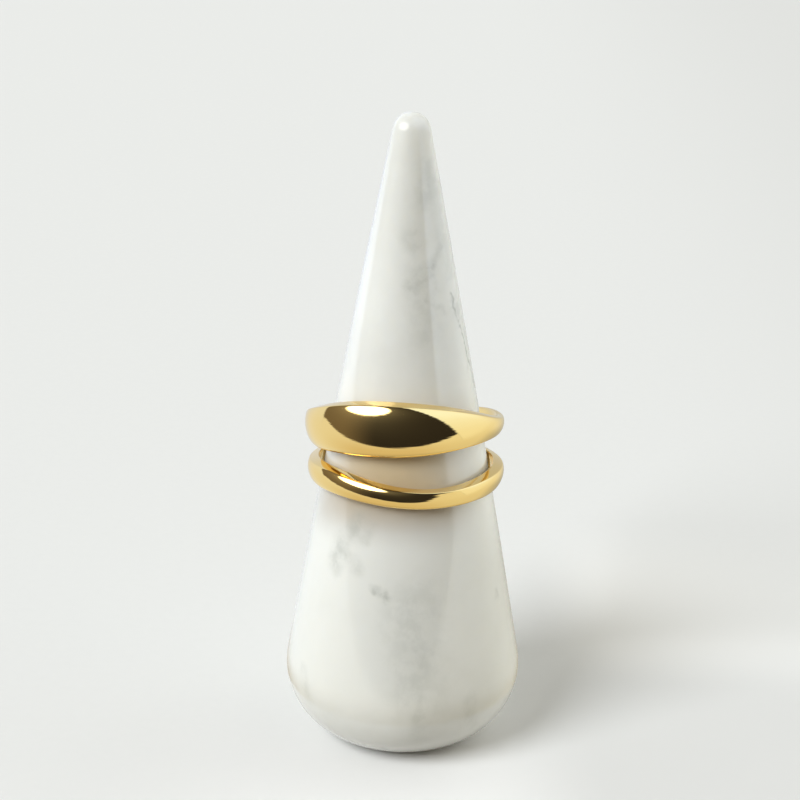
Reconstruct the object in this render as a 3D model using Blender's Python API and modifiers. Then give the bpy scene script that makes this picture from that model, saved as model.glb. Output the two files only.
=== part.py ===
"""A gold ring of two bands on a turned marble display cone. Metres, +Z up, origin on the floor under the cone."""

from math import asin, atan2, cos, hypot, pi, radians, sin

import bmesh
import bpy

MM = 0.001

# Driving dimensions of the display cone
CONE_HEIGHT = 65.6 * MM
CONE_RADIUS = 12.07 * MM
FOOT_ROUNDING = 7.5 * MM
TIP_ROUNDING = 1.87 * MM
SIDE_SWELL = 0.15 * MM
CONE_STEPS = 64
FOOT_SEGMENTS = 9
SIDE_SEGMENTS = 6
TIP_SEGMENTS = 6

# Driving dimensions of the ring
FINGER_RADIUS = 8.8 * MM
INNER_EASE = 0.15 * MM
TOP_RIM_SLOPE = 0.33 * MM
BOTTOM_RIM_SLOPE = 0.08 * MM
BOTTOM_RIM_RADIUS = 9.3 * MM
RING_STEPS = 72

# Where a band is taller it is also thicker: each radius grows by this share of the band's height
TOP_RIM_RADIUS = 9.45 * MM
TOP_RIM_GROWTH = 0.11
CROWN_RADIUS = 9.755 * MM
CROWN_GROWTH = 0.124

# The crown is fullest above the middle of the band and curls under below it
CROWN_PEAK = 0.4
ABOVE_SEGMENTS = 3
BELOW_SEGMENTS = 5
ABOVE_POWER = 2.0
BELOW_POWER = 2.5

# How the ring sits on the cone: its front is lifted
SEAT = (0.0, 0.55 * MM, 30.7 * MM)
FRONT_LIFT = radians(9.5)

# Middle and height of each band in millimetres along the ring's axis, by degrees from the front
# towards the right. The bands part at the front and run together at the back.
COLUMNS = ("degrees", "upper_middle", "upper_height", "lower_middle", "lower_height")
BANDS = (
    (-180, 0.45, 2.30, -0.45, 2.30),
    (-135, 1.50, 2.35, -0.93, 2.10),
    (-90, 2.55, 3.66, -1.66, 2.35),
    (-45, 3.56, 5.18, -1.99, 2.56),
    (0, 3.94, 5.43, -2.90, 2.09),
    (45, 3.69, 3.53, -2.68, 2.18),
    (90, 2.96, 2.15, -1.97, 2.40),
    (135, 2.00, 2.90, -1.17, 2.10),
)


def clear_scene():
    for obj in list(bpy.data.objects):
        bpy.data.objects.remove(obj, do_unlink=True)


def new_collection(name):
    collection = bpy.data.collections.new(name)
    bpy.context.scene.collection.children.link(collection)
    return collection


def material(name, colour, roughness, metallic):
    made = bpy.data.materials.new(name)
    made.use_nodes = True
    shader = made.node_tree.nodes["Principled BSDF"]
    shader.inputs["Base Color"].default_value = (*colour, 1.0)
    shader.inputs["Roughness"].default_value = roughness
    shader.inputs["Metallic"].default_value = metallic
    return made


def object_from(name, points, edges, faces, collection):
    mesh = bpy.data.meshes.new(name)
    mesh.from_pydata(points, edges, faces)
    obj = bpy.data.objects.new(name, mesh)
    collection.objects.link(obj)
    return obj


def shade_round(obj, crease_degrees):
    obj.data.shade_smooth()
    obj.data.set_sharp_from_angle(angle=radians(crease_degrees))


def arc(centre_x, centre_z, radius, start, end, segments):
    """Points from one angle to the other, both ends included."""
    turns = [start + (end - start) * i / segments for i in range(segments + 1)]
    return [(centre_x + radius * cos(t), centre_z + radius * sin(t)) for t in turns]


def cone_outline():
    """Outer outline from the tip down to the floor: tip ball, slightly swollen side, rounded foot, flat base."""
    foot_x = CONE_RADIUS - FOOT_ROUNDING
    foot_z = FOOT_ROUNDING
    tip_z = CONE_HEIGHT - TIP_ROUNDING
    rise = atan2(tip_z - foot_z, -foot_x)
    reach = hypot(tip_z - foot_z, foot_x)
    lean = rise - pi / 2 + asin((FOOT_ROUNDING - TIP_ROUNDING) / reach)
    tip = arc(0.0, tip_z, TIP_ROUNDING, pi / 2, lean, TIP_SEGMENTS)
    foot = arc(foot_x, foot_z, FOOT_ROUNDING, lean, -pi / 2, FOOT_SEGMENTS)
    side = []
    for i in range(1, SIDE_SEGMENTS):
        s = i / SIDE_SEGMENTS
        swell = SIDE_SWELL * 4 * s * (1 - s)
        x = tip[-1][0] + (foot[0][0] - tip[-1][0]) * s + swell * cos(lean)
        z = tip[-1][1] + (foot[0][1] - tip[-1][1]) * s + swell * sin(lean)
        side.append((x, z))
    tip[0] = (0.0, CONE_HEIGHT)
    foot[-1] = (foot_x, 0.0)
    return tip + side + foot + [(0.0, 0.0)]


def make_cone(collection):
    outline = [(x, 0.0, z) for x, z in cone_outline()]
    edges = [(i, i + 1) for i in range(len(outline) - 1)]
    cone = object_from("display_cone", outline, edges, [], collection)
    turn = cone.modifiers.new("turn", "SCREW")
    turn.axis = "Z"
    turn.angle = 2 * pi
    turn.steps = CONE_STEPS
    turn.render_steps = CONE_STEPS
    turn.use_merge_vertices = True
    turn.merge_threshold = 1e-6
    turn.use_smooth_shade = True
    cone.data.materials.append(material("white_marble", (0.85, 0.84, 0.80), 0.15, 0.0))
    return cone


def column(name):
    place = COLUMNS.index(name)
    return [row[place] for row in BANDS]


def round_value(name, degrees):
    """A column of the table read at any angle, on a smooth closed curve through its rows."""
    values = column(name)
    count = len(values)
    place = (degrees - BANDS[0][0]) % 360 * count / 360
    i = int(place)
    s = place - i
    before, here, there, after = (values[(i + k) % count] for k in (-1, 0, 1, 2))
    slope_here = (there - before) / 2
    slope_there = (after - here) / 2
    return (
        here * (1 + 2 * s) * (1 - s) ** 2
        + slope_here * s * (1 - s) ** 2
        + there * s * s * (3 - 2 * s)
        - slope_there * s * s * (1 - s)
    )


def band_section(middle, height):
    """One band cut through: a flat finger wall, sloping rims and a domed crown, as (radius, height) points."""
    top = middle + height / 2
    bottom = middle - height / 2
    crown_top = top - TOP_RIM_SLOPE
    crown_bottom = bottom + BOTTOM_RIM_SLOPE
    peak = crown_top + (crown_bottom - crown_top) * CROWN_PEAK
    peak_radius = CROWN_RADIUS + CROWN_GROWTH * height
    top_radius = TOP_RIM_RADIUS + TOP_RIM_GROWTH * height
    crown = []
    for i in range(ABOVE_SEGMENTS):
        s = 1 - i / ABOVE_SEGMENTS
        radius = peak_radius - (peak_radius - top_radius) * s**ABOVE_POWER
        crown.append((radius, peak + (crown_top - peak) * s))
    for i in range(BELOW_SEGMENTS + 1):
        s = i / BELOW_SEGMENTS
        radius = peak_radius - (peak_radius - BOTTOM_RIM_RADIUS) * s**BELOW_POWER
        crown.append((radius, peak + (crown_bottom - peak) * s))
    inner_bottom = [(FINGER_RADIUS + INNER_EASE, bottom), (FINGER_RADIUS, bottom + INNER_EASE)]
    inner_top = [(FINGER_RADIUS, top - INNER_EASE), (FINGER_RADIUS + INNER_EASE, top)]
    return crown + inner_bottom + inner_top


def make_band(name, which, collection):
    """A band lofted round the finger through a section at every step."""
    points = []
    for step in range(RING_STEPS):
        degrees = 360 * step / RING_STEPS - 180
        turn = radians(degrees)
        middle = round_value(which + "_middle", degrees) * MM
        height = round_value(which + "_height", degrees) * MM
        for radius, z in band_section(middle, height):
            points.append((radius * sin(turn), -radius * cos(turn), z))
    size = len(points) // RING_STEPS
    faces = []
    for step in range(RING_STEPS):
        here = step * size
        there = (step + 1) % RING_STEPS * size
        for i in range(size):
            j = (i + 1) % size
            faces.append((here + i, here + j, there + j, there + i))
    band = object_from(name, points, [], faces, collection)
    made = bmesh.new()
    made.from_mesh(band.data)
    bmesh.ops.recalc_face_normals(made, faces=made.faces)
    made.to_mesh(band.data)
    made.free()
    return band


def make_ring(collection, helpers):
    """Both bands joined in one piece of gold, leaning on the cone."""
    seat = bpy.data.objects.new("ring_seat", None)
    seat.location = SEAT
    seat.rotation_euler = (-FRONT_LIFT, 0.0, 0.0)
    collection.objects.link(seat)
    ring = make_band("ring", "upper", collection)
    lower = make_band("lower_band", "lower", helpers)
    lower.hide_render = True
    lower.display_type = "WIRE"
    for band in (ring, lower):
        band.parent = seat
    join = ring.modifiers.new("join_bands", "BOOLEAN")
    join.operation = "UNION"
    join.solver = "EXACT"
    join.object = lower
    ring.data.materials.append(material("yellow_gold", (0.83, 0.60, 0.24), 0.08, 1.0))
    shade_round(ring, 18)
    shade_round(lower, 18)
    return ring


clear_scene()
parts = new_collection("ring_on_display_cone")
helpers = new_collection("helpers")
make_cone(parts)
make_ring(parts, helpers)
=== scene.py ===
# %% [markdown]
# # A gold double-band ring on a marble display cone
#
# This lesson dresses a finished construction model for its portrait. The model has two solids:
# a ring cast in one piece of yellow gold, and the plain turned cone that it sits on. Their places
# and sizes are settled, so they are loaded as a frame. Each is then given a finer surface and a
# finish worked out from nodes, and the pair gets a floor, lights and a camera.

# %% Load the frame
from math import asin, atan2, cos, hypot, pi, radians, sin, tan

import bmesh
import bpy
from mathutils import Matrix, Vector


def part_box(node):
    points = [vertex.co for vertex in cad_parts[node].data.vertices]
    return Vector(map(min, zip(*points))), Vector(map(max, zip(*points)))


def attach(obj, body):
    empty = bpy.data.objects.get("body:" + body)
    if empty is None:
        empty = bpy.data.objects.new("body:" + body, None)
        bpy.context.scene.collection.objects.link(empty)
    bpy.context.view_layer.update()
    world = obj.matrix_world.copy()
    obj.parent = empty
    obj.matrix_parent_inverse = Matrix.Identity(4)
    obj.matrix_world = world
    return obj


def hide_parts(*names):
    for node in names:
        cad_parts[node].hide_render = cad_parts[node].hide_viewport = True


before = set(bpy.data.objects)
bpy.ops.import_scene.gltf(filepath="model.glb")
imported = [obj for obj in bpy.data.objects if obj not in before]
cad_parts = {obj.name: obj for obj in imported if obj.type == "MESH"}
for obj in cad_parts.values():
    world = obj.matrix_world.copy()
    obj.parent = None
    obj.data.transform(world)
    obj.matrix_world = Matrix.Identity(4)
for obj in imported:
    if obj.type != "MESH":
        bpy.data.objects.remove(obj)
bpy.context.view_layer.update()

MM = 0.001
cone_low, cone_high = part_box("display_cone")
ring_low, ring_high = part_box("ring")
print("cone", [round(v / MM, 2) for v in cone_high - cone_low], "mm")
print("ring", [round(v / MM, 2) for v in ring_high - ring_low], "mm")

# %% [markdown]
# ## Helpers for meshes
#
# Both pieces are lofts: an outline that is repeated round an axis, with faces between one copy
# and the next. Blender can do that with Screw for a plain turned shape. A loft in code is needed
# where the outline itself changes on the way round, as the ring's does.

# %% A mesh object from points and faces
def mesh_object(name, points, faces):
    mesh = bpy.data.meshes.new(name)
    mesh.from_pydata(points, [], faces)
    made = bpy.data.objects.new(name, mesh)
    bpy.context.scene.collection.objects.link(made)
    return made


def weld(mesh, distance):
    """Merges points that are closer than a distance, so that no sliver of a face is left."""
    work = bmesh.new()
    work.from_mesh(mesh)
    bmesh.ops.remove_doubles(work, verts=work.verts, dist=distance)
    work.to_mesh(mesh)
    work.free()


def arc(centre_x, centre_z, radius, start, end, segments):
    """Points from one angle to the other, both ends included."""
    turns = [start + (end - start) * i / segments for i in range(segments + 1)]
    return [(centre_x + radius * cos(t), centre_z + radius * sin(t)) for t in turns]


# %% [markdown]
# ## The display cone
#
# The stand is a piece of white marble with the look of lathe work, so one outline and a Screw
# modifier give the whole of it. The outline is a small ball at the tip, a side that swells by a
# hair, and a large rounding down to a flat foot.
# The loaded cone has the same outline in fewer steps, so the two agree to a few hundredths of a
# millimetre.

# %% The cone's outline
CONE_HEIGHT = cone_high.z
CONE_RADIUS = cone_high.x
FOOT_ROUNDING = 7.5 * MM
TIP_ROUNDING = 1.87 * MM
SIDE_SWELL = 0.15 * MM
TIP_SEGMENTS = 16
SIDE_SEGMENTS = 24
FOOT_SEGMENTS = 32
CONE_STEPS = 192


def cone_outline():
    """From the tip down to the middle of the foot, as (radius, height)."""
    foot_x = CONE_RADIUS - FOOT_ROUNDING
    tip_z = CONE_HEIGHT - TIP_ROUNDING
    rise = atan2(tip_z - FOOT_ROUNDING, -foot_x)
    reach = hypot(tip_z - FOOT_ROUNDING, foot_x)
    lean = rise - pi / 2 + asin((FOOT_ROUNDING - TIP_ROUNDING) / reach)
    tip = arc(0.0, tip_z, TIP_ROUNDING, pi / 2, lean, TIP_SEGMENTS)
    foot = arc(foot_x, FOOT_ROUNDING, FOOT_ROUNDING, lean, -pi / 2, FOOT_SEGMENTS)
    side = []
    for i in range(1, SIDE_SEGMENTS):
        s = i / SIDE_SEGMENTS
        swell = SIDE_SWELL * 4 * s * (1 - s)
        x = tip[-1][0] + (foot[0][0] - tip[-1][0]) * s + swell * cos(lean)
        z = tip[-1][1] + (foot[0][1] - tip[-1][1]) * s + swell * sin(lean)
        side.append((x, z))
    tip[0] = (0.0, CONE_HEIGHT)
    foot[-1] = (foot_x, 0.0)
    return tip + side + foot + [(0.0, 0.0)]


outline = cone_outline()
print("cone outline:", len(outline), "points")

# %% Turn the cone
def turn(name, outline, steps):
    mesh = bpy.data.meshes.new(name)
    edges = [(i, i + 1) for i in range(len(outline) - 1)]
    mesh.from_pydata([(x, 0.0, z) for x, z in outline], edges, [])
    made = bpy.data.objects.new(name, mesh)
    bpy.context.scene.collection.objects.link(made)
    screw = made.modifiers.new("turn", "SCREW")
    screw.axis = "Z"
    screw.angle = 2 * pi
    screw.steps = steps
    screw.render_steps = steps
    screw.use_merge_vertices = True
    screw.merge_threshold = 1e-6
    screw.use_smooth_shade = True
    return made


cone = turn("marble_cone", outline, CONE_STEPS)
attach(cone, "root")
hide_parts("display_cone")

# %% [markdown]
# ## The ring
#
# The ring is one casting of two bands. The upper one is a broad dome, fullest a little to the left
# of the front, and the lower one is a slim rounded wire. They part at the front, close up on the
# way round and are one shank behind the finger. A polished surface shows every unevenness in its
# reflections, so the table below gives a section only at eight places, and a sum of a few waves
# carries each column round without a kink.

# %% The bands at eight places round the finger
FINGER_RADIUS = 8.8 * MM
SEAT = Vector((0.0, 0.55 * MM, 30.7 * MM))
FRONT_LIFT = radians(9.5)

# Degrees from the front towards the right. Lengths in millimetres along and from the ring's axis.
# Slope is how much lower the outer edge of the top rim is than its inner edge. Brow and tuck are how
# far the crown leans back at the upper crease and under at the lower one, in degrees, and over and
# under are how much of the height each of those curves takes.
COLUMNS = (
    "degrees", "middle", "height", "slope", "rim_radius", "foot_radius", "brow", "over", "tuck", "under",
)
UPPER_BAND = (
    (-180, 0.45, 2.30, 0.33, 9.70, 9.30, 38, 0.26, 50, 0.40),
    (-135, 1.50, 2.35, 0.33, 9.70, 9.30, 38, 0.26, 50, 0.40),
    (-90, 2.55, 3.66, 0.33, 9.97, 9.42, 34, 0.26, 52, 0.34),
    (-45, 3.56, 5.18, 0.33, 10.02, 9.60, 34, 0.26, 58, 0.24),
    (0, 3.94, 5.43, 0.33, 10.05, 9.68, 34, 0.26, 58, 0.22),
    (45, 3.69, 3.53, 0.33, 9.85, 9.50, 34, 0.26, 55, 0.25),
    (90, 2.96, 2.15, 0.33, 9.70, 9.30, 38, 0.26, 50, 0.40),
    (135, 2.00, 2.90, 0.33, 9.75, 9.30, 38, 0.26, 50, 0.40),
)
LOWER_BAND = (
    (-180, -0.45, 2.30, 0.33, 9.70, 9.30, 38, 0.26, 50, 0.40),
    (-135, -0.93, 2.10, 0.33, 9.70, 9.30, 38, 0.26, 50, 0.40),
    (-90, -1.66, 2.35, 0.36, 9.74, 9.46, 38, 0.30, 50, 0.35),
    (-45, -1.99, 2.56, 0.40, 9.60, 9.50, 36, 0.44, 58, 0.18),
    (0, -2.90, 2.09, 0.23, 9.68, 9.45, 38, 0.38, 55, 0.20),
    (45, -2.68, 2.18, 0.26, 9.72, 9.35, 36, 0.28, 52, 0.30),
    (90, -1.97, 2.40, 0.33, 9.75, 9.30, 38, 0.26, 50, 0.40),
    (135, -1.17, 2.10, 0.33, 9.72, 9.30, 38, 0.26, 50, 0.40),
)


def waves(values):
    """The smoothest closed curve through evenly spaced values, as (cosine, sine) of each wave."""
    count = len(values)
    found = []
    for wave in range(count // 2 + 1):
        share = (1 if wave in (0, count / 2) else 2) / count
        turns = [2 * pi * wave * i / count for i in range(count)]
        cosine = share * sum(v * cos(t) for v, t in zip(values, turns))
        sine = share * sum(v * sin(t) for v, t in zip(values, turns))
        found.append((cosine, sine))
    return found


def read(found, angle):
    """The curve's value at an angle in degrees from the front."""
    turn_on = radians(angle + 180)
    return sum(c * cos(k * turn_on) + s * sin(k * turn_on) for k, (c, s) in enumerate(found))


def band_reader(rows):
    """A function that gives every column of a band at any angle."""
    carried = {name: waves([row[i] for row in rows]) for i, name in enumerate(COLUMNS) if i}
    return lambda angle: {name: read(found, angle) for name, found in carried.items()}


def smooth(value, start, end):
    """0 before start, 1 after end, and an even S between them."""
    s = min(1.0, max(0.0, (value - start) / (end - start)))
    return s * s * (3 - 2 * s)


# %% [markdown]
# Two things change faster round the ring than eight places can say, so each band adds them to its
# table. The broad band's inner edge is rounded more at the sides and behind, for comfort. The slim
# band turns its face down just right of the front, and turns it back up at the side.

# %% What each band adds to its table
FRONT_EASE = 0.30
BACK_EASE = 0.85
SLIM_EASE = 0.15
TWIST = 46
TWIST_REACH = 0.2
WALL_STEP = 0.012
even_upper_at = band_reader(UPPER_BAND)
even_lower_at = band_reader(LOWER_BAND)


def upper_at(angle):
    row = even_upper_at(angle)
    row["ease"] = FRONT_EASE + (BACK_EASE - FRONT_EASE) * smooth(abs(angle), 55, 95)
    row["finger"] = FINGER_RADIUS / MM
    return row


def lower_at(angle):
    row = even_lower_at(angle)
    twist = smooth(angle, -8, 15) - 0.75 * smooth(angle, 26, 46) - 0.25 * smooth(angle, 60, 100)
    row["brow"] -= TWIST * twist
    row["rim_radius"] += TWIST_REACH * twist
    row["ease"] = SLIM_EASE
    row["finger"] = FINGER_RADIUS / MM + WALL_STEP
    return row


for angle in (-45, -20, 0, 45):
    print(angle, {k: round(v, 2) for k, v in upper_at(angle).items()})

# %% [markdown]
# ### The section of a band
#
# Cut through, each band has a flat wall against the finger, a sloping rim at the top, a domed
# crown outside and a narrow rim below. The crown is one Bezier curve: its ends set the two creases
# and its handles set how the metal leaves them, so the flat middle and the rounded shoulders of
# the real band come by themselves. A polished crease is never a knife edge, so a short curve
# rounds each corner.

# %% One section as a closed outline
FOOT_SLOPE = 0.08
FINGER_EASE = 0.15
CREASE_ROUNDING = 0.09
CROWN_POINTS = 28
WALL_POINTS = 6
CORNER_POINTS = 4


def bezier(a, b, c, d, s):
    r = 1 - s
    return tuple(
        r ** 3 * a[i] + 3 * r * r * s * b[i] + 3 * r * s * s * c[i] + s ** 3 * d[i] for i in (0, 1)
    )


def crown_curve(row):
    """The upper crease, the domed outside between the roundings, and the lower crease."""
    top = (row["rim_radius"], row["middle"] + row["height"] / 2 - row["slope"])
    foot = (row["foot_radius"], row["middle"] - row["height"] / 2 + FOOT_SLOPE)
    brow, tuck = radians(row["brow"]), radians(row["tuck"])
    near = row["over"] * (top[1] - foot[1])
    far = row["under"] * (top[1] - foot[1])
    leave = (top[0] + near * sin(brow), top[1] - near * cos(brow))
    arrive = (foot[0] + far * sin(tuck), foot[1] + far * cos(tuck))
    first = CREASE_ROUNDING / (3 * near)
    last = 1 - CREASE_ROUNDING / (3 * far)
    shares = [first + (last - first) * i / CROWN_POINTS for i in range(CROWN_POINTS + 1)]
    return top, [bezier(top, leave, arrive, foot, s) for s in shares], foot


def between(a, b, share):
    return tuple(p + (q - p) * share for p, q in zip(a, b))


def toward(a, b, distance):
    return between(a, b, distance / hypot(b[0] - a[0], b[1] - a[1]))


def corner(before, at, after, size):
    """A short curve that takes the sharpness off a corner."""
    start = toward(at, before, size)
    end = toward(at, after, size)
    points = []
    for i in range(CORNER_POINTS + 1):
        s = i / CORNER_POINTS
        points.append(between(between(start, at, s), between(at, end, s), s))
    return points


def section(row):
    """One band cut through, as a closed loop of (radius, height) in millimetres."""
    top = row["middle"] + row["height"] / 2
    bottom = row["middle"] - row["height"] / 2
    finger = row["finger"]
    upper_crease, crown, lower_crease = crown_curve(row)
    inside_bottom = (finger, bottom)
    inside_top = (finger, top)
    loop = corner(inside_top, upper_crease, crown[0], CREASE_ROUNDING)
    loop += crown[1:-1]
    loop += corner(crown[-1], lower_crease, inside_bottom, CREASE_ROUNDING)
    loop += corner(lower_crease, inside_bottom, inside_top, FINGER_EASE)
    wall_foot = toward(inside_bottom, inside_top, FINGER_EASE)
    wall_top = toward(inside_top, inside_bottom, row["ease"])
    loop += [between(wall_foot, wall_top, i / WALL_POINTS) for i in range(1, WALL_POINTS)]
    loop += corner(inside_bottom, inside_top, upper_crease, row["ease"])
    return loop


print("section:", len(section(upper_at(0))), "points")

# %% [markdown]
# ### Lofting and joining
#
# Each band is lofted through a section at every degree, then tipped so that its front is lifted,
# the way the ring has come to rest on the cone. The two closed bands are joined by a Boolean, so
# the casting is one skin with a fine groove where the bands meet at the back. A Boolean needs
# clean input: no outline may fold back over itself, and two walls that lie exactly on each other
# would confuse it. So the slim band's finger wall stands a hundredth of a millimetre further out
# than the broad band's, and points that nearly meet on the cut line are welded afterwards.

# %% Loft the two bands
RING_STEPS = 360


def seated(radius, height, angle):
    """A point of the ring's own drawing, moved to where the ring sits."""
    x = radius * sin(angle)
    y = -radius * cos(angle)
    lifted_y = y * cos(FRONT_LIFT) + height * sin(FRONT_LIFT)
    lifted_z = height * cos(FRONT_LIFT) - y * sin(FRONT_LIFT)
    return SEAT + Vector((x, lifted_y, lifted_z))


def loft_band(name, read_at):
    points = []
    for step in range(RING_STEPS):
        around = 360 * step / RING_STEPS - 180
        for radius, height in section(read_at(around)):
            points.append(seated(radius * MM, height * MM, radians(around)))
    size = len(points) // RING_STEPS
    faces = []
    for step in range(RING_STEPS):
        here = step * size
        there = (step + 1) % RING_STEPS * size
        for i in range(size):
            j = (i + 1) % size
            faces.append((here + i, here + j, there + j, there + i))
    band = mesh_object(name, points, faces)
    band.data.shade_smooth()
    return band


ring = loft_band("gold_ring", upper_at)
lower_band = loft_band("lower_band", lower_at)

# %% Join them in one casting
WELD = 0.002 * MM


def join(body, other):
    """Adds the other closed mesh to the body, and removes it."""
    modifier = body.modifiers.new("join", "BOOLEAN")
    modifier.operation = "UNION"
    modifier.solver = "MANIFOLD"
    modifier.object = other
    graph = bpy.context.evaluated_depsgraph_get()
    joined = bpy.data.meshes.new_from_object(body.evaluated_get(graph))
    weld(joined, WELD)
    body.modifiers.clear()
    body.data = joined
    bpy.data.objects.remove(other)
    body.data.shade_smooth()


join(ring, lower_band)
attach(ring, "root")
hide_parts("ring")
print("ring:", len(ring.data.polygons), "faces")
for i, axis in enumerate("xyz"):
    values = [v.co[i] for v in ring.data.vertices]
    dressed = (round(min(values) / MM, 2), round(max(values) / MM, 2))
    print(axis, "dressed", dressed, "loaded", (round(ring_low[i] / MM, 2), round(ring_high[i] / MM, 2)))

# %% [markdown]
# ## Finishes
#
# A material is a small graph of nodes. The helper below adds a node, sets its plain values and
# joins the ones that come from another node, so a finish reads as a list of steps.

# %% A short way to write node graphs
def new_material(name):
    made = bpy.data.materials.new(name)
    made.use_nodes = True
    tree = made.node_tree
    return made, tree, tree.nodes["Principled BSDF"]


def add(tree, kind, inputs=(), **settings):
    """A node of that kind. Inputs are {socket: value or another node's output}."""
    made = tree.nodes.new(kind)
    for key, value in settings.items():
        setattr(made, key, value)
    for socket, value in dict(inputs).items():
        if isinstance(value, bpy.types.NodeSocket):
            tree.links.new(value, made.inputs[socket])
        else:
            made.inputs[socket].default_value = value
    return made


def math(tree, operation, a, b=0.0):
    return add(tree, "ShaderNodeMath", {0: a, 1: b}, operation=operation).outputs[0]


def measure(tree, place, direction):
    """How far a place lies along a direction, in metres."""
    made = add(tree, "ShaderNodeVectorMath", {0: place, 1: direction}, operation="DOT_PRODUCT")
    return made.outputs["Value"]


def noise(tree, where, scale, detail=3.0, roughness=0.5):
    inputs = {"Vector": where, "Scale": scale, "Detail": detail, "Roughness": roughness}
    return add(tree, "ShaderNodeTexNoise", inputs).outputs["Fac"]


def fade(tree, value, start, end, low, high):
    """Carries value from the range start to end into the range low to high, smoothly."""
    inputs = {"Value": value, "From Min": start, "From Max": end, "To Min": low, "To Max": high}
    made = add(tree, "ShaderNodeMapRange", inputs, interpolation_type="SMOOTHSTEP")
    return made.outputs["Result"]


def blend(tree, share, first, second):
    """A colour between two colours."""
    made = add(tree, "ShaderNodeMix", data_type="RGBA")
    sockets = {"Factor_Float": share, "A_Color": first, "B_Color": second}
    for identifier, value in sockets.items():
        socket = next(s for s in made.inputs if s.identifier == identifier)
        if isinstance(value, bpy.types.NodeSocket):
            tree.links.new(value, socket)
        else:
            socket.default_value = value
    return next(s for s in made.outputs if s.identifier == "Result_Color")


# %% [markdown]
# ### Polished yellow gold
#
# Gold is a metal, so its colour lives in its reflections. Real polishing leaves a faint haze and
# hair-fine lines that run round the band with the mop, which are built from a noise squeezed
# along the ring's height. The bump that they make is very slight, or the reflections would break.

# %% The gold
PALE_GOLD = (0.90, 0.66, 0.27, 1)
DEEP_GOLD = (0.86, 0.63, 0.24, 1)
HAIR_SCALE = (150, 150, 9000)
HAIR_DEPTH = 0.1 * MM
HAIR_STRENGTH = 0.03


def gold_finish():
    made, tree, shader = new_material("yellow_gold")
    place = add(tree, "ShaderNodeTexCoord").outputs["Object"]
    drift = noise(tree, place, 220.0, 4.0)
    tree.links.new(blend(tree, drift, DEEP_GOLD, PALE_GOLD), shader.inputs["Base Color"])
    squeezed = add(tree, "ShaderNodeMapping", {"Vector": place, "Scale": HAIR_SCALE})
    hair = noise(tree, squeezed.outputs[0], 1.0, 2.0)
    haze = fade(tree, drift, 0.35, 0.65, 0.03, 0.05)
    rough = math(tree, "ADD", haze, fade(tree, hair, 0.55, 0.75, 0.0, 0.03))
    tree.links.new(rough, shader.inputs["Roughness"])
    inputs = {"Height": hair, "Strength": HAIR_STRENGTH, "Distance": HAIR_DEPTH}
    tree.links.new(add(tree, "ShaderNodeBump", inputs).outputs[0], shader.inputs["Normal"])
    shader.inputs["Metallic"].default_value = 1.0
    return made


ring.data.materials.clear()
ring.data.materials.append(gold_finish())
print("gold:", len(ring.data.materials[0].node_tree.nodes), "nodes")

# %% [markdown]
# ### White marble
#
# The stone is nearly white, with soft clouds of grey. In the photograph it is a little greyer
# towards its foot and again near the tip, so two slow fades along its height are added. The one
# towards the foot is painted shade, strongest near the floor and weaker on the right side.

# %% The plain stone, with painted shade towards the foot
WHITE_STONE = (0.878, 0.890, 0.862, 1)
GREY_STONE_AND_SHADE = (0.690, 0.695, 0.655, 1)


def stone_and_foot_shade(tree, place, axes, clouds):
    patches = fade(tree, clouds, 0.40, 0.75, 0.0, 0.45)
    # Painted shade: the lower body is greyed, strongest near the floor and weaker on the right.
    painted_shade_to_foot = fade(tree, axes["Z"], 2 * MM, 42 * MM, 0.6, 0.05)
    painted_shade_to_foot = math(tree, "MULTIPLY", painted_shade_to_foot, fade(tree, axes["X"], 2 * MM, 10 * MM, 1.0, 0.4))
    to_tip = fade(tree, axes["Z"], 46 * MM, 58 * MM, 0.0, 0.2)
    grey = math(tree, "ADD", patches, math(tree, "ADD", painted_shade_to_foot, to_tip))
    return blend(tree, grey, WHITE_STONE, GREY_STONE_AND_SHADE)


# %% [markdown]
# ### Veins, smudges and painted shade
#
# Veins in marble are cracks that filled with other minerals: sheets that run through the stone,
# and where the turned surface cuts a sheet it shows a line. One such sheet crosses the back of the
# cone, as a plane with a wandering position. The marks that can be seen in the photograph are
# placed one by one instead. Each is a short line through the stone with a soft edge, and noise
# bends it and breaks it up, so that it never looks drawn. The broad ones are painted shade, laid
# where the cone is less lit.

# %% A sheet and a stroke of mineral
def sheet(tree, place, wander, normal, offset, width):
    """A mineral sheet: 1 on the sheet, fading to 0 at its width, in metres."""
    near = math(tree, "SUBTRACT", measure(tree, place, normal), offset)
    distance = math(tree, "ABSOLUTE", math(tree, "ADD", near, wander))
    return fade(tree, distance, 0.0, width, 1.0, 0.0)


def stroke(tree, place, start, end, width, strength):
    """A soft mark round a short line through the stone, strongest on the line. Lengths in metres."""
    along = end - start
    inside = add(tree, "ShaderNodeVectorMath", {0: place, 1: start}, operation="SUBTRACT").outputs[0]
    inputs = {0: measure(tree, inside, along), 1: 1 / along.length_squared}
    share = add(tree, "ShaderNodeMath", inputs, operation="MULTIPLY", use_clamp=True).outputs[0]
    nearest = add(tree, "ShaderNodeVectorMath", {0: along, "Scale": share}, operation="SCALE").outputs[0]
    away = add(tree, "ShaderNodeVectorMath", {0: inside, 1: nearest}, operation="DISTANCE")
    return fade(tree, away.outputs["Value"], 0.0, width, strength, 0.0)


# %% [markdown]
# A mark's two ends are told as on a globe, by how far round the cone they are and how high. The
# distance from the axis isn't told: it is read from the outline that the cone was turned from, so
# every mark starts and ends on the surface of the stone.

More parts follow.
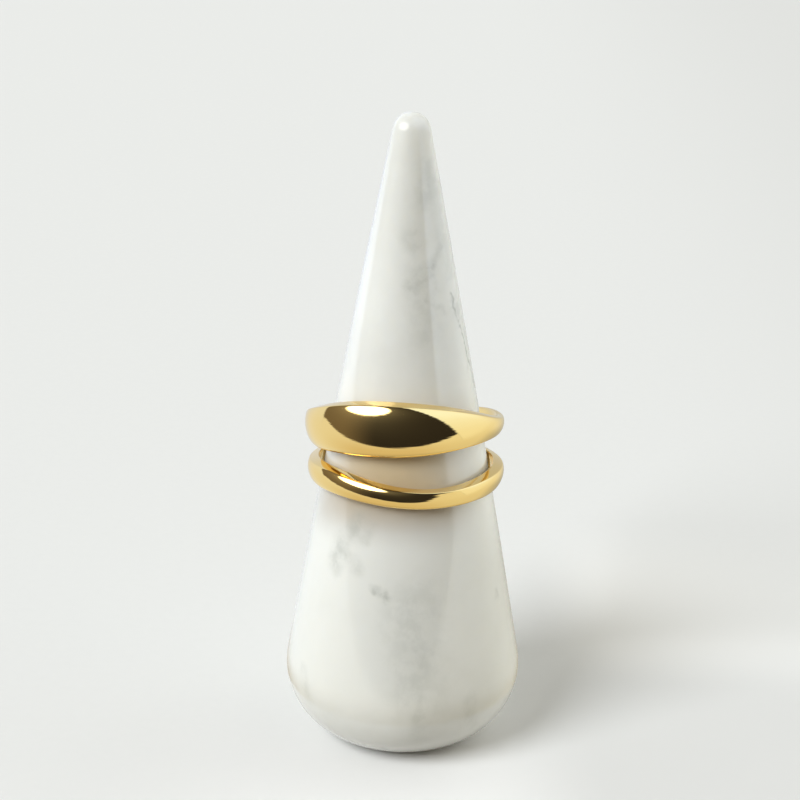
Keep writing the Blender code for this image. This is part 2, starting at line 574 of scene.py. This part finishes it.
# %% The marks that show
# Degrees from the front towards the right. Heights and widths in millimetres.
MARK_COLUMNS = ("from_degrees", "from_height", "to_degrees", "to_height", "width", "strength")
UPPER_VEIN = (
    (49, 53.1, 28, 51.4, 0.8, 0.20),
    (23, 51.0, -1, 49.4, 1.3, 0.18),
    (25, 50.6, 26, 48.5, 0.7, 0.12),
    (26, 48.5, 43, 46.8, 0.7, 0.12),
)
RIGHT_VEIN = (
    (55, 48.2, 66, 44.8, 0.45, 0.45),
    (66, 44.8, 83, 38.0, 0.4, 0.80),
)
# Painted shade: broad soft greys where the cone is less lit, on its right side, just right of the front
# and low on the front.
BROAD_PAINTED_SHADE = (
    (66, 59.0, 68, 50.0, 2.2, 0.20),
    (74, 47.0, 88, 37.0, 2.6, 0.34),
    (35, 60.9, 25, 57.7, 1.6, 0.20),
    (3, 54.3, 6, 53.5, 1.8, 0.20),
    (13, 50.5, 17, 45.0, 2.6, 0.16),
    (5, 18.0, 8, 9.0, 5.0, 0.22),
)
SMUDGES = (
    (-30, 26.6, -35, 25.1, 1.6, 0.34),
    (-43, 23.9, -45, 21.4, 1.7, 0.38),
    (-37, 22.6, -28, 21.6, 1.2, 0.20),
    (-22, 25.9, -25, 24.6, 1.0, 0.22),
    (-17, 20.0, -11, 19.0, 0.9, 0.46),
    (64, 17.6, 64, 17.0, 0.8, 0.25),
    (-58, 8.9, -52, 6.3, 1.3, 0.20),
    (9, 6.7, 10, 4.0, 1.6, 0.14),
    (34, 8.0, 38, 4.7, 1.2, 0.18),
)
MARKS = [dict(zip(MARK_COLUMNS, row)) for row in UPPER_VEIN + RIGHT_VEIN + BROAD_PAINTED_SHADE + SMUDGES]


def stone_radius(height):
    """How far the surface of the stone is from the cone's axis at a height."""
    for (upper_x, upper_z), (lower_x, lower_z) in zip(outline, outline[1:]):
        if lower_z <= height <= upper_z and lower_z < upper_z:
            return upper_x + (lower_x - upper_x) * (upper_z - height) / (upper_z - lower_z)
    raise ValueError("no stone at that height")


def on_stone(degrees, height):
    """A place on the surface of the cone."""
    around = radians(degrees)
    radius = stone_radius(height)
    return Vector((radius * sin(around), -radius * cos(around), height))


first = MARKS[0]
first_start = on_stone(first["from_degrees"], first["from_height"] * MM)
print("the first mark starts at", [round(v / MM, 1) for v in first_start], "mm")

# %% Gather the sheet and the marks
SHEET_NORMAL = Vector((0.80, 0.1, 0.6)).normalized()
SHEET_OFFSET = 34 * MM
SHEET_WIDTH = 0.8 * MM


def mineral_marks_and_painted_shade(tree, place, axes):
    wander = fade(tree, noise(tree, place, 90.0, 4.0, 0.6), 0.2, 0.8, -3.0 * MM, 3.0 * MM)
    at_back = fade(tree, axes["Y"], 0.0, 4 * MM, 0.0, 0.5)
    back_vein = sheet(tree, place, wander, SHEET_NORMAL, SHEET_OFFSET, SHEET_WIDTH)
    marks = math(tree, "MULTIPLY", back_vein, at_back)
    shift = fade(tree, noise(tree, place, 400.0, 3.0, 0.6), 0.2, 0.8, -0.4 * MM, 0.4 * MM)
    bent = add(tree, "ShaderNodeVectorMath", {0: place, 1: shift}, operation="ADD").outputs[0]
    for mark in MARKS:
        start = on_stone(mark["from_degrees"], mark["from_height"] * MM)
        end = on_stone(mark["to_degrees"], mark["to_height"] * MM)
        line = stroke(tree, bent, start, end, mark["width"] * MM, mark["strength"])
        marks = math(tree, "ADD", marks, line)
    flecks = noise(tree, place, 650.0, 4.0, 0.6)
    return math(tree, "MULTIPLY", marks, fade(tree, flecks, 0.35, 0.65, 0.45, 1.35))


print("marks on the stone:", len(MARKS))

# %% [markdown]
# ### What the ring does to the stone beside it
#
# Between the bands the marble looks tan, and just below them it is darker: the gold hides the sky
# from the stone there and sends its own colour back. Light that bounces off polished metal is
# slow to trace and comes out weak, so the rest of it is painted into the stone's colour: a tan of
# painted bounce light between the bands and painted shade below them. It fades with the
# distance from the ring and lies on the front of the cone, where the bands stand apart.

# %% Painted bounce light and shade near the ring
PAINTED_BOUNCE_TAN = (0.62, 0.50, 0.32, 1)
PAINTED_SHADE = (0.44, 0.40, 0.35, 1)
RING_AXIS = (0.0, sin(FRONT_LIFT), cos(FRONT_LIFT))
SEAT_HEIGHT = SEAT.dot(RING_AXIS)
FRONT = (-0.25, -0.97, 0.0)
FRONT_LEFT = (-0.45, -0.89, 0.0)


def painted_light_near_ring(tree, place, stone):
    level = math(tree, "SUBTRACT", measure(tree, place, RING_AXIS), SEAT_HEIGHT)
    at_front = fade(tree, measure(tree, place, FRONT), 3.5 * MM, 8.6 * MM, 0.0, 1.0)
    at_front_left = fade(tree, measure(tree, place, FRONT_LEFT), 1.5 * MM, 7.5 * MM, 0.0, 1.0)
    above_foot = fade(tree, level, -7 * MM, -3 * MM, 0.0, 1.0)
    below_top = fade(tree, level, 0.5 * MM, 7.9 * MM, 1.0, 0.0)
    between = math(tree, "MULTIPLY", math(tree, "MULTIPLY", above_foot, below_top), at_front)
    # Painted bounce light: tan between the bands, on the front.
    stone = blend(tree, between, stone, PAINTED_BOUNCE_TAN)
    # Painted shade: darker just below the ring, towards the front left.
    shade_starts = fade(tree, level, -8.8 * MM, -4.6 * MM, 0.0, 0.55)
    shade_ends = fade(tree, level, -3.5 * MM, -1.5 * MM, 1.0, 0.0)
    under = math(tree, "MULTIPLY", math(tree, "MULTIPLY", shade_starts, shade_ends), at_front_left)
    return blend(tree, under, stone, PAINTED_SHADE)


# %% [markdown]
# ### Polish
#
# The cone is buffed to a deep gloss, which is a clear coat over a softer shine, and light goes a
# few millimetres into the stone before it comes out again. The small round tip can't be buffed as
# flat as the side, so its gloss is weaker.

# %% The marble
# The grey of the veins and of the painted shade.
VEIN_AND_SHADE_GREY = (0.42, 0.44, 0.40, 1)


def marble_finish():
    made, tree, shader = new_material("white_marble")
    place = add(tree, "ShaderNodeTexCoord").outputs["Object"]
    axes = add(tree, "ShaderNodeSeparateXYZ", {0: place}).outputs
    clouds = noise(tree, place, 55.0, 5.0, 0.55)
    stone = painted_light_near_ring(tree, place, stone_and_foot_shade(tree, place, axes, clouds))
    colour = blend(tree, mineral_marks_and_painted_shade(tree, place, axes), stone, VEIN_AND_SHADE_GREY)
    tree.links.new(colour, shader.inputs["Base Color"])
    tip = fade(tree, axes["Z"], 57 * MM, 65 * MM, 0.0, 1.0)
    grain = fade(tree, noise(tree, place, 2500.0, 2.0), 0.3, 0.7, 0.14, 0.22)
    rough = math(tree, "ADD", grain, math(tree, "MULTIPLY", tip, 0.04))
    tree.links.new(rough, shader.inputs["Roughness"])
    tree.links.new(fade(tree, tip, 0.0, 1.0, 0.8, 0.15), shader.inputs["Coat Weight"])
    shader.inputs["Coat Roughness"].default_value = 0.07
    shader.inputs["Coat IOR"].default_value = 1.6
    shader.inputs["Subsurface Weight"].default_value = 0.5
    shader.inputs["Subsurface Radius"].default_value = (1.0, 0.95, 0.85)
    shader.inputs["Subsurface Scale"].default_value = 4 * MM
    return made


cone.data.materials.clear()
cone.data.materials.append(marble_finish())
print("marble:", len(cone.data.materials[0].node_tree.nodes), "nodes")

# %% [markdown]
# ## The light tent
#
# Polished metal shows whatever stands round it, so jewellers photograph it in a small white tent
# with an opening for the camera. The opening is what the dark patch on a shiny band is. The tent
# here is a dome that only reflections can see: it lights nothing and hides nothing. Its
# brightness at every direction from the ring is worked out by one function and stored on the
# mesh as a colour. Azimuth is counted in degrees from the front towards the right, so the lamp at
# the front left has a negative one.

# %% The walls, the opening and the lamp
DARK_ROOM = (0.030, 0.028, 0.030)
BROWN_ROOM = (0.175, 0.145, 0.115)
LEFT_WALL = (0.90, 0.98, 1.15)
RIGHT_WALL_LOW = (1.04, 1.10, 1.10)
RIGHT_WALL_HIGH = (1.14, 1.38, 1.85)
BACK_WALL = (0.95, 0.98, 1.00)
LAMP_LIGHT = 5.0
LAMP_PLACE = (-57.5, 37.5)
LAMP_SIZE = (36.5, 19.5)
LAMP_HALO = 0.17
HALO_REACH = 0.55
HALO_FALL = 2.7
OPENING_LEFT = -102
OPENING_LEFT_LEAN = 1.15
OPENING_LEAN_ENDS = 40
OPENING_RIGHT = 57
OPENING_RIGHT_LEAN = 0.72
OPENING_RIGHT_LEVEL = -5


def mix(a, b, share):
    return [p + (q - p) * share for p, q in zip(a, b)]


def opening_edges(elevation):
    """Where the dark opening towards the camera starts and ends, in degrees from the front."""
    left = OPENING_LEFT - OPENING_LEFT_LEAN * max(0, min(OPENING_LEAN_ENDS, elevation))
    right = OPENING_RIGHT - OPENING_RIGHT_LEAN * (elevation - OPENING_RIGHT_LEVEL)
    return left, right


def lamp_light(azimuth, elevation):
    """An oval lamp, seen through the opening at its upper left, with a halo on the haze."""
    across = (azimuth - LAMP_PLACE[0]) / LAMP_SIZE[0]
    up = (elevation - LAMP_PLACE[1]) / LAMP_SIZE[1]
    away = hypot(across, up)
    halo = LAMP_HALO * HALO_FALL ** (-max(0, away - 1) / HALO_REACH)
    return LAMP_LIGHT * (1 - smooth(away, 0.85, 1.1)) + halo


def upper_tent(azimuth, elevation):
    right_wall = mix(RIGHT_WALL_LOW, RIGHT_WALL_HIGH, smooth(elevation, -15, 35))
    wall = mix(LEFT_WALL, right_wall, smooth(azimuth, -20, 20))
    wall = mix(wall, BACK_WALL, smooth(azimuth, 100, 150))
    room = mix(BROWN_ROOM, DARK_ROOM, smooth(azimuth, -75, -30))
    left, right = opening_edges(elevation)
    opening = smooth(azimuth, left - 2, left + 2) * (1 - smooth(azimuth, right - 1.5, right + 1.5))
    lamp = lamp_light(azimuth, elevation)
    return [c + lamp for c in mix(wall, room, opening)]


# %% [markdown]
# Below the level of the ring the gold shows the pale card that the cone stands on. It is warmer and
# darker close to the cone and bright far off, it ends in a straight front edge, and the cone's
# shadow lies on it at the back right.

# %% The card as the gold shows it
TENT_CENTRE = Vector((0.0, 0.0, 31 * MM))
CARD_FRONT = -65 * MM
CARD_TURN = 0.15
EDGE_SOFTNESS = 3 * MM
UNDER_LEFT = (0.55, 0.48, 0.36)
UNDER_RIGHT = (0.60, 0.53, 0.37)
NEAR_LEFT = (0.92, 0.96, 0.98)
NEAR_FRONT = (0.79, 0.71, 0.54)
NEAR_RIGHT = (0.86, 0.84, 0.72)
FAR_LEFT = (0.92, 0.96, 1.00)
FAR_RIGHT = (1.00, 1.04, 1.00)
SHADOW_AZIMUTH = 133
SHADOW_STRENGTH = 0.28


def card_light(azimuth, elevation):
    under = mix(UNDER_LEFT, UNDER_RIGHT, smooth(azimuth, -60, 20))
    near = mix(NEAR_LEFT, NEAR_FRONT, smooth(azimuth, -120, -50))
    near = mix(near, NEAR_RIGHT, smooth(azimuth, 10, 70))
    near = mix(under, near, smooth(elevation, -62, -40))
    far = mix(FAR_LEFT, FAR_RIGHT, smooth(azimuth, 0, 60))
    colour = mix(near, far, smooth(elevation, -38, -3))
    shadow = 1 - smooth(abs(azimuth - SHADOW_AZIMUTH), 8, 38)
    shadow *= smooth(-elevation, 14, 30)
    return [c * (1 - SHADOW_STRENGTH * shadow) for c in colour]


def on_card(azimuth, elevation):
    """1 where a look down from the ring meets the card, 0 beyond its front edge."""
    reach = TENT_CENTRE.z / tan(radians(-elevation))
    x, y = sin(radians(azimuth)) * reach, -cos(radians(azimuth)) * reach
    return smooth(y + CARD_TURN * x, CARD_FRONT - EDGE_SOFTNESS, CARD_FRONT + EDGE_SOFTNESS)


# %% The whole tent
def behind(azimuth):
    """The part of the tent behind the cone is dimmer, more so at the right."""
    return 1 - 0.34 * smooth(azimuth, 118, 160) - 0.15 * smooth(-azimuth, 125, 160)


def tent_colour(azimuth, elevation):
    """The light that comes from a direction, as red, green and blue."""
    colour = upper_tent(azimuth, elevation)
    card = card_light(azimuth, elevation)
    left, right = opening_edges(elevation)
    if azimuth > right:
        wall_foot = -20 + 20 * smooth(azimuth, 70, 140)
        colour = mix(card, colour, smooth(elevation, wall_foot - 7, wall_foot + 7))
    elif azimuth < left:
        colour = mix(card, colour, smooth(elevation, -14, 10))
    elif elevation < 0:
        colour = mix(colour, card, on_card(azimuth, elevation))
    return [behind(azimuth) * c for c in colour]


for azimuth, elevation in ((-57, 37), (0, 10), (90, 10), (0, -50)):
    print("tent at", (azimuth, elevation), [round(c, 2) for c in tent_colour(azimuth, elevation)])

# %% [markdown]
# A mirror shows not only how bright the tent is but also how far away. The dome is wide above, so
# that the lamp looks the same from both bands, and it lies flat on the floor below, so that the
# card's reflection meets the cone where it should.

# %% Build the tent
TENT_NEAR = 72 * MM
TENT_FAR = 300 * MM
TENT_LOWEST = -62
TENT_STEPS = (400, 228)


def tent_reach(elevation):
    """Far away above, nearer level with the ring, and flat on the floor below."""
    if elevation > 0:
        return TENT_NEAR + (TENT_FAR - TENT_NEAR) * smooth(elevation, 0, 20)
    return min(TENT_NEAR, (TENT_CENTRE.z - 0.5 * MM) / max(0.01, sin(radians(-elevation))))


def build_tent():
    across, up = TENT_STEPS
    points, colours, faces = [], [], []
    for row in range(up + 1):
        elevation = TENT_LOWEST + (90 - TENT_LOWEST) * row / up
        e = radians(elevation)
        for column in range(across):
            azimuth = 360 * column / across - 180
            a = radians(azimuth)
            direction = Vector((cos(e) * sin(a), -cos(e) * cos(a), sin(e)))
            points.append(TENT_CENTRE + direction * tent_reach(elevation))
            colours.append((*tent_colour(azimuth, elevation), 1.0))
            if row < up:
                here = row * across + column
                beside = row * across + (column + 1) % across
                faces.append((here, beside, beside + across, here + across))
    tent = mesh_object("light_tent", points, faces)
    stored = tent.data.color_attributes.new("tent_light", "FLOAT_COLOR", "POINT")
    stored.data.foreach_set("color", [v for colour in colours for v in colour])
    return tent


tent = build_tent()
print("tent:", len(tent.data.polygons), "faces")

# %% Make it glow, for reflections only
glow = bpy.data.materials.new("tent_glow")
glow.use_nodes = True
glow.node_tree.nodes.clear()
stored_light = add(glow.node_tree, "ShaderNodeVertexColor", layer_name="tent_light")
emission = add(glow.node_tree, "ShaderNodeEmission", {"Color": stored_light.outputs["Color"]})
add(glow.node_tree, "ShaderNodeOutputMaterial", {"Surface": emission.outputs[0]})
glow.cycles.emission_sampling = "NONE"
tent.data.materials.append(glow)
for sight in ("camera", "diffuse", "transmission", "volume_scatter", "shadow"):
    setattr(tent, "visible_" + sight, False)

# %% [markdown]
# ## Floor and lamps
#
# The floor is matt pale card, large enough that its edge is never seen. The reflections in the gold
# suggest that the card in the photograph stops a few centimetres in front of the cone, below the
# picture, and that it is dark beyond. So the floor here is pale to the camera everywhere, and dark
# to reflections and bounced light beyond that line. It sends back less light on the left, where
# the cone's underside is greyer. The photographed card isn't evenly bright either: it is brighter
# just in front of the cone, duller at the front right, and the far end of the shadow is paler than
# a shadow from one even lamp would be. That light and shade is painted on the card: painted light
# in front of the cone and at the end of the shadow, and painted shade at the right.

# %% The floor
CARD_LIGHT = (0.785, 0.791, 0.796, 1)
CARD_GREY = (0.765, 0.771, 0.776, 1)
CARD_PAINTED_LIGHT = (0.97, 0.97, 0.97, 1)
CARD_PAINTED_SHADE = (0.715, 0.718, 0.720, 1)
DARK_TABLE = (0.05, 0.045, 0.04, 1)
BOUNCE_LEFT = (0.47, 0.46, 0.43, 1)
BOUNCE_RIGHT = (0.85, 0.85, 0.83, 1)
IN_FRONT = (0.0, -24 * MM, 0.0)


def end_of_shadow(tree, axes):
    """The part of the card under the far end of the shadow."""
    sideways = fade(tree, axes["X"], 15 * MM, 25 * MM, 0.0, 0.85)
    sideways = math(tree, "MULTIPLY", sideways, fade(tree, axes["X"], 24 * MM, 60 * MM, 1.0, 0.15))
    backwards = fade(tree, axes["Y"], 8 * MM, 20 * MM, 0.0, 1.0)
    backwards = math(tree, "MULTIPLY", backwards, fade(tree, axes["Y"], 30 * MM, 56 * MM, 1.0, 0.0))
    return math(tree, "MULTIPLY", sideways, backwards)


def floor_finish():
    made, tree, shader = new_material("pale_card")
    place = add(tree, "ShaderNodeTexCoord").outputs["Object"]
    axes = add(tree, "ShaderNodeSeparateXYZ", {0: place}).outputs
    card = blend(tree, noise(tree, place, 900.0, 4.0), CARD_GREY, CARD_LIGHT)
    # Painted light: the card is lighter just in front of the cone.
    near = fade(tree, axes["Y"], -55 * MM, 20 * MM, 0.45, 0.0)
    near = math(tree, "MULTIPLY", near, fade(tree, axes["X"], 30 * MM, 80 * MM, 1.0, 0.4))
    to_front = add(tree, "ShaderNodeVectorMath", {0: place, 1: IN_FRONT}, operation="DISTANCE")
    near = math(tree, "ADD", near, fade(tree, to_front.outputs["Value"], 8 * MM, 36 * MM, 0.42, 0.0))
    card = blend(tree, near, card, CARD_PAINTED_LIGHT)
    # Painted shade: the card is darker far to the right and at the front right.
    far_right = fade(tree, axes["X"], 20 * MM, 110 * MM, 0.0, 1.0)
    front_right = fade(tree, axes["X"], 8 * MM, 22 * MM, 0.0, 1.0)
    front_right = math(tree, "MULTIPLY", front_right, fade(tree, axes["Y"], 4 * MM, 18 * MM, 0.85, 0.0))
    card = blend(tree, math(tree, "MAXIMUM", far_right, front_right), card, CARD_PAINTED_SHADE)
    # Painted light: the far end of the shadow is paler.
    card = blend(tree, end_of_shadow(tree, axes), card, CARD_PAINTED_LIGHT)
    along = math(tree, "ADD", axes["Y"], math(tree, "MULTIPLY", axes["X"], CARD_TURN))
    within = fade(tree, along, CARD_FRONT - EDGE_SOFTNESS, CARD_FRONT + EDGE_SOFTNESS, 0.0, 1.0)
    path = add(tree, "ShaderNodeLightPath").outputs
    bounce = blend(tree, fade(tree, axes["X"], 8 * MM, 60 * MM, 0.0, 1.0), BOUNCE_LEFT, BOUNCE_RIGHT)
    card = blend(tree, path["Is Diffuse Ray"], card, bounce)
    pale = math(tree, "MAXIMUM", within, path["Is Camera Ray"])
    colour = blend(tree, pale, DARK_TABLE, card)
    tree.links.new(colour, shader.inputs["Base Color"])
    shader.inputs["Roughness"].default_value = 0.9
    shader.inputs["Specular IOR Level"].default_value = 0.0
    return made


FLOOR_HALF = 3.0
floor_corners = [(x * FLOOR_HALF, y * FLOOR_HALF, 0) for x, y in ((-1, -1), (1, -1), (1, 1), (-1, 1))]
floor = mesh_object("floor", floor_corners, [(0, 1, 2, 3)])
floor.data.materials.append(floor_finish())

# %% [markdown]
# One broad lamp from the front left gives the soft shadow. A studio lamp is far away beside the
# size of a ring, so a sun lamp with a wide angle does much the same and keeps the floor even.

# %% The lamp
LAMP_AZIMUTH = radians(-47)
LAMP_ELEVATION = radians(38)
LAMP_SPREAD = radians(32)
LAMP_ENERGY = 2.68
LAMP_TINT = (0.965, 1.0, 1.025)

key = bpy.data.lights.new("softbox", "SUN")
key.angle = LAMP_SPREAD
key.energy = LAMP_ENERGY
key.color = LAMP_TINT
key_object = bpy.data.objects.new("softbox", key)
bpy.context.scene.collection.objects.link(key_object)
aim = Vector((
    cos(LAMP_ELEVATION) * sin(LAMP_AZIMUTH),
    -cos(LAMP_ELEVATION) * cos(LAMP_AZIMUTH),
    sin(LAMP_ELEVATION),
))
key_object.rotation_euler = aim.to_track_quat("Z", "Y").to_euler()
key_object.visible_glossy = False

# %% [markdown]
# The rest of the light comes from the white walls behind the object and to its sides. The side
# with the camera is dark, which is what gives the marble its darker middle. The wall at the back
# right is nearest and brightest.

# %% The walls, as a sky that depends on direction
SIDE_LIGHT = 1.17
NEAR_WALL_LIGHT = 1.75
NEAR_WALL = (0.82, 0.57, 0.0)
FRONT_FILL = 0.16
BACKDROP = 0.82
WALL_TONE = (0.975, 0.985, 0.92, 1)
FILL_TONE = (1.0, 0.74, 0.42, 1)
BACKDROP_TONE = (1.0, 0.98, 0.96, 1)


def build_room():
    world = bpy.data.worlds.new("pale_room")
    world.use_nodes = True
    tree = world.node_tree
    direction = add(tree, "ShaderNodeTexCoord").outputs["Generated"]
    axes = add(tree, "ShaderNodeSeparateXYZ", {0: direction}).outputs
    walls = fade(tree, axes["Y"], -0.9, 0.05, 0.0, SIDE_LIGHT)
    near_wall = fade(tree, measure(tree, direction, NEAR_WALL), 0.62, 1.0, 0.0, NEAR_WALL_LIGHT)
    low = fade(tree, axes["Z"], 0.55, 0.95, 1.0, 0.0)
    light = math(tree, "MULTIPLY", math(tree, "ADD", walls, near_wall), low)
    light = math(tree, "ADD", light, fade(tree, axes["Y"], -1.0, -0.2, FRONT_FILL, 0.0))
    tone = blend(tree, fade(tree, axes["Y"], -0.8, -0.1, 1.0, 0.0), WALL_TONE, FILL_TONE)
    seen = add(tree, "ShaderNodeLightPath").outputs["Is Camera Ray"]
    light = math(tree, "MULTIPLY", light, math(tree, "SUBTRACT", 1.0, seen))
    light = math(tree, "ADD", light, math(tree, "MULTIPLY", seen, BACKDROP))
    background = tree.nodes["Background"]
    tree.links.new(blend(tree, seen, tone, BACKDROP_TONE), background.inputs["Color"])
    tree.links.new(light, background.inputs["Strength"])
    bpy.context.scene.world = world
    return world


room = build_room()
print("room:", len(room.node_tree.nodes), "nodes")

# %% [markdown]
# ## The camera
#
# A long lens held a little above the ring looks down at it. Its height and distance are set so
# that the cone fills the height of the picture and the lower band lies level.

# %% Place the camera
CAMERA_TARGET = Vector((-0.71 * MM, 0.0, 36.27 * MM))
CAMERA_DISTANCE = 220 * MM
CAMERA_ELEVATION = radians(20.5)
CAMERA_ROLL = radians(0.94)
SENSOR_WIDTH = 36
LENS_LENGTH = 99

lens = bpy.data.cameras.new("camera")
lens.sensor_width = SENSOR_WIDTH
lens.lens = LENS_LENGTH
lens.clip_start = 10 * MM
camera = bpy.data.objects.new("camera", lens)
bpy.context.scene.collection.objects.link(camera)
back = Vector((0.0, -cos(CAMERA_ELEVATION), sin(CAMERA_ELEVATION)))
camera.location = CAMERA_TARGET + back * CAMERA_DISTANCE
camera.rotation_euler = (pi / 2 - CAMERA_ELEVATION, 0.0, 0.0)
camera.rotation_euler.rotate_axis("Z", CAMERA_ROLL)
bpy.context.scene.camera = camera

# %% [markdown]
# ## Colour
#
# The picture is shown with the plain Standard transform, which keeps the white floor white.

# %% Colour
bpy.context.scene.view_settings.view_transform = "Standard"
